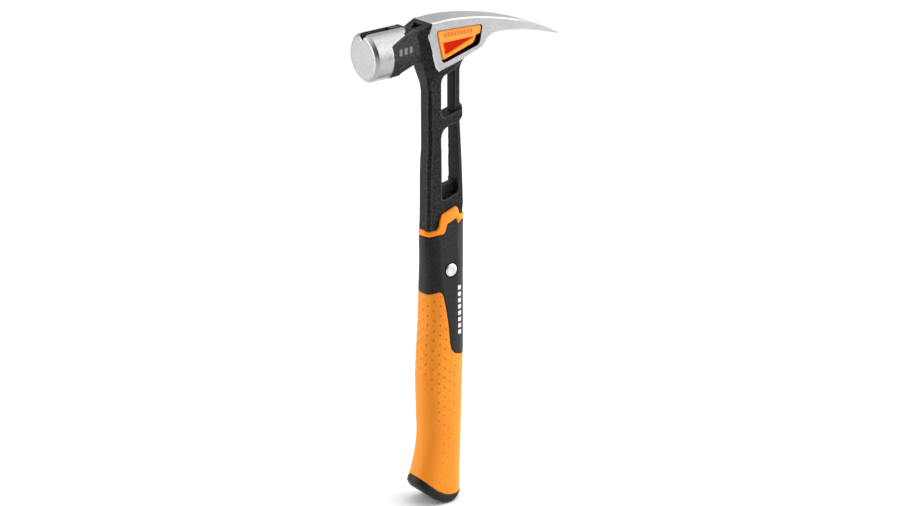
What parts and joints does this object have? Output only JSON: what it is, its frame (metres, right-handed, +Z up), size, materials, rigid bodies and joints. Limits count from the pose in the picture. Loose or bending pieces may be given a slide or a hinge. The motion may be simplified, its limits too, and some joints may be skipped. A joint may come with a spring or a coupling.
{
  "type": "claw hammer",
  "caption": "Straight-claw hammer forged in one piece with a skeleton shank, and an isolated handle with a dimpled soft grip.",
  "frame": {"origin": "lowest point of the butt, on the handle's axis", "axes": "+Z up the handle to the head, -X out of the striking face, +X along the claws, symmetric about Y = 0"},
  "size_m": [0.1756, 0.0376, 0.3941],
  "materials": {
    "bare_steel": "forged steel, ground and brushed, bare on poll, cheeks and claws",
    "black_paint": "fine textured black paint on neck and shank",
    "magnet_black": "black coated magnet",
    "insert_orange": "satin moulded orange plastic",
    "sleeve_orange": "soft orange elastomer",
    "casing_black": "finely textured black nylon",
    "grip_orange": "dimpled soft orange rubber",
    "cap_black": "smooth black rubber",
    "rivet_bright": "bright polished metal"
  },
  "bodies": {
    "root": {"head_and_shank": "bare_steel", "nail_starter_magnet": "magnet_black", "cheek_insert_right": "insert_orange", "cheek_insert_left": "insert_orange", "isolation_sleeve": "sleeve_orange", "handle_casing": "casing_black", "grip": "grip_orange", "end_cap": "cap_black", "rivet_stud": "rivet_bright", "rivet_socket": "rivet_bright"}
  },
  "joints": []
}
